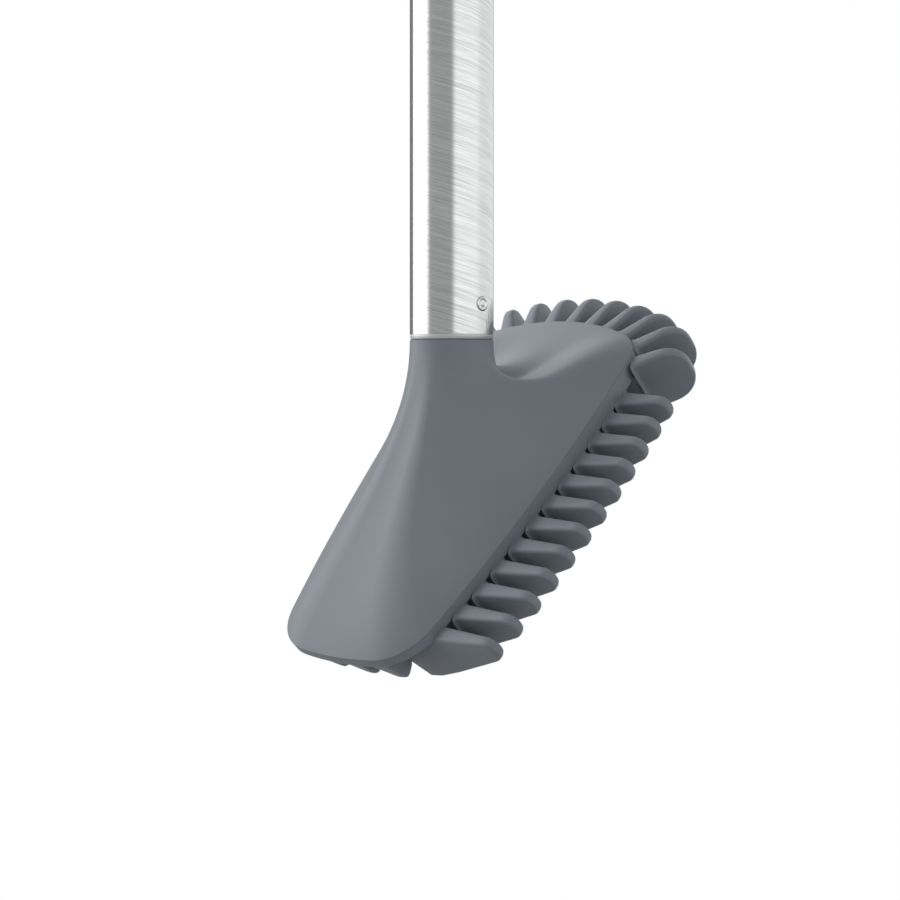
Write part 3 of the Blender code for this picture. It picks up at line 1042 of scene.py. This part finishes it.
@dataclass
class FinRow:
    """Geometry Nodes that set copies of one blade on root points, turning and stretching as they go."""

    name: str
    blade: bpy.types.Object
    material: bpy.types.Material
    first_heading: float
    heading_step: float
    first_stretch: float
    last_stretch: float

    def tree(self) -> tuple[bpy.types.NodeTree, dict[str, str]]:
        """Builds the node group.

        Returns:
            The group, and the identifier of each named input.
        """
        tree = bpy.data.node_groups.new(self.name, "GeometryNodeTree")
        face = tree.interface
        face.new_socket("Geometry", in_out="OUTPUT", socket_type="NodeSocketGeometry")
        face.new_socket("Geometry", in_out="INPUT", socket_type="NodeSocketGeometry")
        kinds = {"Blade": "NodeSocketObject", "Finish": "NodeSocketMaterial", "Count": "NodeSocketInt"}
        floats = ("First Heading", "Heading Step", "First Stretch", "Last Stretch")
        kinds |= {label: "NodeSocketFloat" for label in floats}
        keys = {
            label: face.new_socket(label, in_out="INPUT", socket_type=kind).identifier
            for label, kind in kinds.items()
        }
        given = add(tree, "NodeGroupInput")
        index = add(tree, "GeometryNodeInputIndex").outputs[0]
        turn = add(
            tree,
            "ShaderNodeMath",
            {0: index, 1: given.outputs["Heading Step"], 2: given.outputs["First Heading"]},
            operation="MULTIPLY_ADD",
        )
        last = add(tree, "ShaderNodeMath", {0: given.outputs["Count"], 1: 1.0}, operation="SUBTRACT")
        stretch = add(
            tree,
            "ShaderNodeMapRange",
            {
                "Value": index,
                "From Min": 0.0,
                "From Max": last.outputs[0],
                "To Min": given.outputs["First Stretch"],
                "To Max": given.outputs["Last Stretch"],
            },
        )
        rotation = add(tree, "ShaderNodeCombineXYZ", {"Z": turn.outputs[0]})
        scale = add(tree, "ShaderNodeCombineXYZ", {"X": stretch.outputs[0], "Y": 1.0, "Z": 1.0})
        blade = add(tree, "GeometryNodeObjectInfo", {"Object": given.outputs["Blade"]})
        copies = add(
            tree,
            "GeometryNodeInstanceOnPoints",
            {
                "Points": given.outputs["Geometry"],
                "Instance": blade.outputs["Geometry"],
                "Rotation": rotation.outputs[0],
                "Scale": scale.outputs[0],
            },
        )
        solid = add(tree, "GeometryNodeRealizeInstances", {"Geometry": copies.outputs[0]})
        dressed = add(
            tree,
            "GeometryNodeSetMaterial",
            {"Geometry": solid.outputs[0], "Material": given.outputs["Finish"]},
        )
        add(tree, "NodeGroupOutput", {"Geometry": dressed.outputs[0]})
        return tree, keys

    def grow(self, roots: Sequence[Sequence[float]]) -> bpy.types.Mesh:
        """Sets the blades on their roots.

        Args:
            roots: The root points, in the base plane's frame.

        Returns:
            A plain mesh of all the blades, in that frame.
        """
        mesh = bpy.data.meshes.new(self.name)
        mesh.from_pydata([tuple(root) for root in roots], [], [])
        host = bpy.data.objects.new(self.name, mesh)
        bpy.context.scene.collection.objects.link(host)
        modifier = host.modifiers.new(self.name, "NODES")
        modifier.node_group, keys = self.tree()
        values = {
            "Blade": self.blade,
            "Finish": self.material,
            "Count": len(roots),
            "First Heading": self.first_heading,
            "Heading Step": self.heading_step,
            "First Stretch": self.first_stretch,
            "Last Stretch": self.last_stretch,
        }
        for label, value in values.items():
            modifier[keys[label]] = value
        bpy.context.view_layer.update()
        evaluated = host.evaluated_get(bpy.context.evaluated_depsgraph_get())
        grown = bpy.data.meshes.new_from_object(evaluated)
        host.modifiers.remove(modifier)
        bpy.data.objects.remove(host)
        bpy.data.objects.remove(self.blade)
        return grown


@dataclass
class FinSkirt:
    """The finned skirt under the dome: wall, sole, side fins, toe fan, heel teeth and far ribs."""

    finishes: Finishes
    base: BaseFrame
    outline: Outline
    around: int = 320
    top_gap: float = 0.1 * MM
    wall_at_toe: float = 5.2 * MM
    wall_at_heel: float = 2.4 * MM
    bite: float = 0.7 * MM
    pitch: float = 6.65 * MM
    root: float = 4.4 * MM
    tip: float = 2.3 * MM
    tip_round: float = 0.6 * MM
    seat: float = 1.0 * MM  # how far a blade's inner point stops short of where its slope would end
    slab_edge: float = 0.22 * MM
    slab_inset: float = 2.5 * MM
    row_count: int = 12
    row_start: float = 31.3 * MM
    row_reach: float = 16.2 * MM
    row_reach_at_toe: float = 13.4 * MM
    row_corners: tuple[float, float] = (3.0 * MM, 3.6 * MM)  # upper and lower, at the fin's tip
    row_inward: float = 10.0 * MM
    row_slope: float = math.radians(21.0)
    inner_slope: float = math.radians(53.0)
    fan_count: int = 6
    fan_turn: float = math.radians(11.4)
    fan_reach: float = 12.8 * MM
    fan_top: float = 1.0 * MM
    fan_height: float = 14.6 * MM
    fan_inward: float = 6.0 * MM
    fan_corners: tuple[float, float] = (5.5 * MM, 7.0 * MM)  # upper and lower, at the blade's tip
    fan_step: float = 3.4 * MM  # how far a blade's inner part lies under the wall's top
    fan_foot: float = 4.0 * MM
    tooth_pitch: float = 8.0 * MM
    tooth_start: float = 11.2 * MM
    tooth_depths: tuple[float, ...] = (9.5 * MM, 8.0 * MM, 5.8 * MM, 4.0 * MM)
    tooth_root: float = 5.4 * MM
    tooth_tip: float = 2.0 * MM
    tooth_length: float = 5.0 * MM
    foot_lean: float = 0.4
    foot_round: float = 0.5 * MM
    foot_edge: float = 0.45 * MM
    foot_inset: float = 0.25 * MM
    rib_depth: float = 4.5 * MM
    rib_inward: float = 12.0 * MM

    def wall_height(self, along: float) -> float:
        """Returns the wall's height at a place along the head; it falls towards the heel."""
        share = (along + self.outline.heel_reach) / (self.outline.toe_reach + self.outline.heel_reach)
        return self.wall_at_heel + (self.wall_at_toe - self.wall_at_heel) * share

    def half_thickness(self, reach: float, fillet: float) -> Profile:
        """Works out a fin's half-thickness along its length, with its round tip.

        Args:
            reach: How far the fin stands out from the wall.
            fillet: The radius at the root, or 0 for a fin with no neighbour on one side.

        Returns:
            The half-thickness at each place along the fin.
        """
        edge = self.tip_round

        def half(u: float) -> float:
            """Works out the half-thickness.

            Args:
                u: The place along the fin.

            Returns:
                The half-thickness there.
            """
            share = min(max(u / reach, 0.0), 1.0)
            size = (self.root + (self.tip - self.root) * share) / 2
            if 0.0 < u < fillet:
                size += fillet - math.sqrt(fillet**2 - (fillet - u) ** 2)
            if u > reach - edge:
                size -= edge * (1 - math.sqrt(max(0.0, 1 - ((u - reach + edge) / edge) ** 2)))
            return size

        return half

    @staticmethod
    def rounded_edge(radius: float, reach: float) -> Profile:
        """Makes a top edge that runs level and then turns a quarter circle at the blade's end.

        Args:
            radius: The radius of the turn.
            reach: The blade's length.

        Returns:
            The depth of the edge at each place along the blade.
        """

        def edge(u: float) -> float:
            """Returns the edge's depth at u."""
            over = max(0.0, u - (reach - radius))
            return radius - math.sqrt(max(0.0, radius**2 - over**2))

        return edge

    @staticmethod
    def slices(inner: float, reach: float, radius: float) -> list[float]:
        """Spaces a blade's slices, close together at the root and round the tip.

        Args:
            inner: The place of the blade's inner end.
            reach: The blade's length outside the wall.
            radius: The radius of the tip's lower corner.

        Returns:
            The slices' places, in order.
        """
        inside = list(np.linspace(inner, -0.2 * MM, 7))
        near = [0.0, 0.05 * MM, 0.2 * MM, 0.4 * MM, 0.7 * MM, 1.12 * MM, 2.0 * MM]
        middle = list(np.linspace(3.5 * MM, reach - radius, 6))
        angles = [math.radians(a) for a in (12, 24, 36, 48, 58, 67, 75, 82, 88)]
        return inside + near + middle + [reach - radius + radius * math.sin(a) for a in angles]

    @property
    def slot_radius(self) -> float:
        """The radius of the round end of a slot between two fins."""
        return (self.pitch - self.root) / 2

    def row_blade(self, name: str, fillet: float) -> bpy.types.Object:
        """Makes a blade of the side row.

        Args:
            name: The blade's name.
            fillet: The radius at its root.

        Returns:
            The blade, with its top edge at n = 0.
        """
        reach, (upper, lower) = self.row_reach, self.row_corners
        fall = math.tan(self.row_slope)
        touch = reach - lower + lower * math.sin(self.row_slope)
        touch_depth = upper + lower * math.cos(self.row_slope)
        deepest = touch_depth + (touch + self.row_inward) * fall
        inner = -self.row_inward - deepest / math.tan(self.inner_slope)
        top = self.rounded_edge(upper, reach)

        def low(u: float) -> float:
            """Works out the lower edge.

            Args:
                u: The place along the blade.

            Returns:
                The edge's depth there.
            """
            if u < -self.row_inward:
                return deepest + (u + self.row_inward) * math.tan(self.inner_slope)
            if u < touch:
                return touch_depth + (touch - u) * fall
            return upper + math.sqrt(max(0.0, lower**2 - (u - reach + lower) ** 2))

        places = self.slices(inner + self.seat, reach, lower)
        half = self.half_thickness(reach, fillet)
        return Blade(places, top, low, half).mesh(name, self.finishes.silicone)

    def fan_blade(self) -> bpy.types.Object:
        """Makes the blade of the toe fan.

        Returns:
            The blade, with its top edge at n = 0.
        """
        reach, height = self.fan_reach, self.fan_height
        upper, lower = self.fan_corners
        inner = -self.fan_inward - (height - self.fan_foot) / math.tan(self.inner_slope)
        bend = self.rounded_edge(upper, reach)

        def top(u: float) -> float:
            """Returns the top edge's depth at u."""
            return self.fan_step if u < -0.1 * MM else bend(u)

        def low(u: float) -> float:
            """Works out the lower edge.

            Args:
                u: The place along the blade.

            Returns:
                The edge's depth there.
            """
            if u < -self.fan_inward:
                return height - (-self.fan_inward - u) * math.tan(self.inner_slope)
            over = max(0.0, u - (reach - lower))
            return height - (lower - math.sqrt(max(0.0, lower**2 - over**2)))

        places = self.slices(inner + self.seat, reach, lower)
        half = self.half_thickness(reach, self.slot_radius)
        return Blade(places, top, low, half).mesh("fan_blade", self.finishes.silicone)

    def foot_blade(self, name: str, depth: float, length: float) -> bpy.types.Object:
        """Makes a short blade that points away from the sole: a heel tooth or a rib.

        Args:
            name: The blade's name.
            depth: How far it stands out of the sole.
            length: Its length at the foot.

        Returns:
            The blade, with its top at n = 0 inside the sole.
        """
        lean = depth * self.foot_lean
        inner = -lean - length - depth / math.tan(self.inner_slope)
        rows = 9
        rings = []
        for row in range(rows + 1):
            share = row / rows
            n = depth * share
            curve = math.sqrt(max(0.0, 1 - max(0.0, share * 1.08 - 0.08) ** 12))
            round_off = self.foot_round * (1 - curve)
            outer = -self.foot_inset - (lean - self.foot_inset) * share - round_off
            back = inner + (-lean - length - inner) * share + round_off
            half = (self.tooth_root + (self.tooth_tip - self.tooth_root) * share) / 2 - round_off * 0.8
            edge = self.foot_edge
            ring = []
            for sign_u, sign_v, start in QUADRANTS:
                centre = (outer - edge if sign_u > 0 else back + edge, sign_v * (half - edge))
                ring += [(x, y, n) for x, y in arc(centre, edge, start, start + 90, 3)]
            rings.append(ring)
        points, faces = loft(rings)
        return make_piece(name, points, faces, self.finishes.silicone, 50)

    def slab(self) -> bpy.types.Mesh:
        """Makes the wall and the sole as one closed slab with soft edges.

        Returns:
            The slab's mesh, in the base plane's frame.
        """
        soft, inner = self.slab_edge, self.slab_inset
        turns = [math.radians(a) for a in (30, 60, 90)]
        rows = [(inner, 0.0, 0.0), (soft * 1.5, 0.0, 0.0), (soft * 0.8, 0.0, 0.02 * MM)]
        rows += [(soft * (1 - math.sin(a)), 0.0, soft * (1 - math.cos(a))) for a in turns]
        rows += [(0.0, 1.0, -soft * 2)]
        rows += [(soft * (1 - math.cos(a)), 1.0, -soft * (1 - math.sin(a))) for a in turns]
        rows += [(soft * 2.5, 1.0, 0.0), (inner, 1.0, 0.0)]
        rings = []
        for inset, share, shift in rows:
            ring = []
            for along, across, _ in self.outline.ring(self.around, inset):
                n = self.top_gap + (self.wall_height(along) - self.top_gap) * share + shift
                ring.append((along, across, n))
            rings.append(ring)
        points, faces = loft(rings)
        slab = make_piece("skirt_slab", points, faces, self.finishes.silicone, 40)
        mesh = slab.data
        bpy.data.objects.remove(slab)
        return mesh

    def build(self) -> None:
        """Builds the skirt and every blade, and joins them into one piece."""
        silicone = self.finishes.silicone
        parts = [self.slab()]
        along = [self.row_start - i * self.pitch for i in range(self.row_count)]
        widths = [self.outline.half_width_at(a) for a in along]
        tops = [self.wall_height(a) - self.bite for a in along]
        toe_stretch = self.row_reach_at_toe / self.row_reach
        roots = list(zip(along, widths, tops))
        blade = self.row_blade("row_blade", self.slot_radius)
        row = FinRow("side_fins", blade, silicone, math.pi / 2, 0.0, toe_stretch, 1.0)
        parts.append(row.grow(roots[:-1]))
        last = self.row_blade("last_blade", 0.0)
        parts.append(FinRow("last_fin", last, silicone, math.pi / 2, 0.0, 1.0, 1.0).grow(roots[-1:]))
        rib_length = self.rib_inward - self.rib_depth * self.foot_lean
        rib = self.foot_blade("rib_blade", self.rib_depth, rib_length)
        ribs = FinRow("far_ribs", rib, silicone, -math.pi / 2, 0.0, 1.0, 1.0)
        parts.append(ribs.grow([(a, -w, t) for a, w, t in zip(along, widths, tops)]))
        half = self.fan_count - 0.5
        places = [self.outline.at((i - half) * self.pitch) for i in range(2 * self.fan_count)]
        first = -half * self.fan_turn
        fan = FinRow("toe_fan", self.fan_blade(), silicone, first, self.fan_turn, 1.0, 1.0)
        parts.append(fan.grow([(a, w, self.fan_top) for a, w, _ in places]))
        for index, depth in enumerate(self.tooth_depths):
            parts.append(self.tooth(index, depth))
        self.join(parts)

    def tooth(self, index: int, depth: float) -> bpy.types.Mesh:
        """Sets one heel tooth square to the outline.

        Args:
            index: Its place in the row, from the finned side.
            depth: How far it stands out of the sole.

        Returns:
            Its mesh, in the base plane's frame.
        """
        distance = self.outline.length - (self.tooth_start - index * self.tooth_pitch)
        side = 1.0
        if distance > self.outline.length:
            distance, side = 2 * self.outline.length - distance, -1.0
        along, across, turn = self.outline.at(side * distance)
        blade = self.foot_blade(f"tooth_blade_{index}", depth + self.bite, self.tooth_length / 2)
        row = FinRow(f"heel_tooth_{index}", blade, self.finishes.silicone, turn, 0.0, 1.0, 1.0)
        return row.grow([(along, across, self.wall_height(along) - self.bite)])

    def join(self, parts: Sequence[bpy.types.Mesh]) -> None:
        """Joins the parts into one mesh and moves it from the base plane's frame into place.

        Args:
            parts: The meshes, which are removed.
        """
        points: list = []
        faces: list = []
        for mesh in parts:
            start = len(points)
            points += [tuple(self.base.point(*vertex.co)) for vertex in mesh.vertices]
            faces += [[start + i for i in face.vertices] for face in mesh.polygons]
            bpy.data.meshes.remove(mesh)
        skirt = make_piece("fin_comb", points, faces, self.finishes.silicone, 42)
        settle(skirt, Body.HEAD, Slot.SILICONE, "fin_skirt")


# ---------------------------------------------------------------- studio


@dataclass
class Studio:
    """A plain white studio: pale floor, wide soft light, and the camera."""

    neck_top: float
    camera_from_neck: tuple[float, float, float] = (-282.96 * MM, -273.25 * MM, -6.68 * MM)
    facing: float = math.radians(46.0)
    lens: float = 66.0
    shift: tuple[float, float] = (-0.0019, -0.0911)
    floor_drop: float = 240.0 * MM
    floor_half: float = 2.5
    floor_colour: str = "#b0b0b0"
    brightest: float = 6.0  # a ramp holds no more than 1, so it holds shares of this
    zenith: float = 0.54
    # Brightness of the surroundings by direction, from behind the object round its left, its front
    # (0.5) and its right: first near eye level, where strip panels and grey gaps stand, then overhead.
    level: tuple[tuple[float, float], ...] = (
        (0.0, 0.25),
        (0.128, 0.22),
        (0.152, 2.9),
        (0.27, 2.8),
        (0.295, 2.1),
        (0.325, 0.5),
        (0.5, 0.5),
        (0.53, 1.4),
        (0.7, 1.4),
        (0.74, 1.2),
        (0.91, 1.15),
        (0.97, 0.35),
    )
    overhead: tuple[tuple[float, float], ...] = (
        (0.0, 1.8),
        (0.08, 3.4),
        (0.22, 3.6),
        (0.29, 1.8),
        (0.37, 0.9),
        (0.5, 0.6),
        (0.65, 0.4),
        (0.9, 0.5),
    )

    def camera(self) -> None:
        """Places the camera, level and turned to show the finned side and the heel."""
        data = bpy.data.cameras.new("camera")
        data.lens = self.lens
        data.shift_x, data.shift_y = self.shift
        data.clip_start, data.clip_end = 0.01, 50.0
        camera = bpy.data.objects.new("camera", data)
        camera.location = Vector(self.camera_from_neck) + Vector((0.0, 0.0, self.neck_top))
        ahead = Vector((math.sin(self.facing), math.cos(self.facing), 0.0))
        camera.rotation_euler = ahead.to_track_quat("-Z", "Y").to_euler()
        bpy.context.scene.collection.objects.link(camera)
        bpy.context.scene.camera = camera

    def panels(
        self, tree: bpy.types.NodeTree, share: bpy.types.NodeSocket, overhead: bool
    ) -> bpy.types.NodeSocket:
        """Adds one ring of panels.

        Args:
            tree: The world's tree.
            share: The direction round the object, from 0 to 1.
            overhead: Whether it is the ring overhead or the one at eye level.

        Returns:
            The ring's colour, as a share of the brightest one.
        """
        ring = self.overhead if overhead else self.level
        return ramp(tree, share, [(place, (v / self.brightest,) * 3 + (1.0,)) for place, v in ring])

    def surroundings(self) -> None:
        """Lights the scene with wide panels, and shows plain white behind the object."""
        world = bpy.data.worlds.new("studio")
        world.use_nodes = True
        tree = world.node_tree
        tree.nodes.clear()
        way = add(tree, "ShaderNodeTexCoord").outputs["Generated"]
        axes = add(tree, "ShaderNodeSeparateXYZ", {"Vector": way})
        angle = add(
            tree, "ShaderNodeMath", {0: axes.outputs["Y"], 1: axes.outputs["X"]}, operation="ARCTAN2"
        )
        turn = 0.5 / math.pi
        centred = add(
            tree,
            "ShaderNodeMath",
            {0: angle.outputs[0], 1: turn, 2: (self.facing - math.pi / 2) * turn},
            operation="MULTIPLY_ADD",
        )
        share = add(tree, "ShaderNodeMath", {0: centred.outputs[0]}, operation="FRACT").outputs[0]
        lift = add(
            tree,
            "ShaderNodeMapRange",
            {"Value": axes.outputs["Z"], "From Min": 0.26, "From Max": 0.6, "To Min": 0.0, "To Max": 1.0},
        )
        mixed = add(
            tree,
            "ShaderNodeMix",
            {0: lift.outputs[0], 6: self.panels(tree, share, False), 7: self.panels(tree, share, True)},
            data_type="RGBA",
        )
        top = add(
            tree,
            "ShaderNodeMapRange",
            {"Value": axes.outputs["Z"], "From Min": 0.6, "From Max": 0.85, "To Min": 0.0, "To Max": 1.0},
        )
        capped = add(
            tree,
            "ShaderNodeMix",
            {0: top.outputs[0], 6: mixed.outputs[2], 7: (self.zenith / self.brightest,) * 3 + (1.0,)},
            data_type="RGBA",
        )
        light = add(
            tree, "ShaderNodeBackground", {"Color": capped.outputs[2], "Strength": self.brightest}
        )
        plain = add(tree, "ShaderNodeBackground", {"Color": (1.0, 1.0, 1.0, 1.0), "Strength": 1.0})
        seen = add(tree, "ShaderNodeLightPath").outputs["Is Camera Ray"]
        both = add(tree, "ShaderNodeMixShader", {0: seen, 1: light.outputs[0], 2: plain.outputs[0]})
        add(tree, "ShaderNodeOutputWorld", {"Surface": both.outputs[0]})
        bpy.context.scene.world = world

    def floor(self) -> None:
        """Lays a pale floor well below the brush, which hangs; a camera under it looks through it."""
        half = self.floor_half
        z = self.neck_top - self.floor_drop
        material, tree, shader = new_material("studio_floor_white")
        shader.inputs["Base Color"].default_value = linear(self.floor_colour)
        shader.inputs["Roughness"].default_value = 0.9
        shader.inputs["Specular IOR Level"].default_value = 0.1
        white = add(tree, "ShaderNodeEmission", {"Color": (1.0, 1.0, 1.0, 1.0), "Strength": 1.0})
        seen = add(tree, "ShaderNodeLightPath").outputs["Is Camera Ray"]
        both = add(tree, "ShaderNodeMixShader", {0: seen, 1: shader.outputs[0], 2: white.outputs[0]})
        under = add(tree, "ShaderNodeNewGeometry").outputs["Backfacing"]
        clear = add(tree, "ShaderNodeBsdfTransparent")
        shown = add(tree, "ShaderNodeMixShader", {0: under, 1: both.outputs[0], 2: clear.outputs[0]})
        connect(tree, shown.outputs[0], tree.nodes["Material Output"], "Surface")
        corners = [(-half, -half, z), (half, -half, z), (half, half, z), (-half, half, z)]
        mesh = bpy.data.meshes.new("floor")
        mesh.from_pydata(corners, [], [(0, 1, 2, 3)])
        floor = bpy.data.objects.new("floor", mesh)
        mesh.materials.append(material)
        bpy.context.scene.collection.objects.link(floor)

    def build(self) -> None:
        """Builds the studio."""
        self.camera()
        self.surroundings()
        self.floor()
        bpy.context.scene.view_settings.view_transform = "Standard"
        LOG.info("studio: camera, surroundings and floor in place")


def main() -> None:
    """Builds the brush from the handle down, and then the studio round it."""
    logging.basicConfig(level=logging.INFO, format="%(message)s")
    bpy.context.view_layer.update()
    base = BaseFrame()
    outline = Outline()
    finishes = Finishes()
    Handle(finishes).build()
    ScrewJoint(finishes).build()
    dress("head_core", finishes.plastic)
    Dome(finishes, base, outline).build()
    FinSkirt(finishes, base, outline).build()
    Studio(base.neck_top).build()


if __name__ == "__main__":
    main()
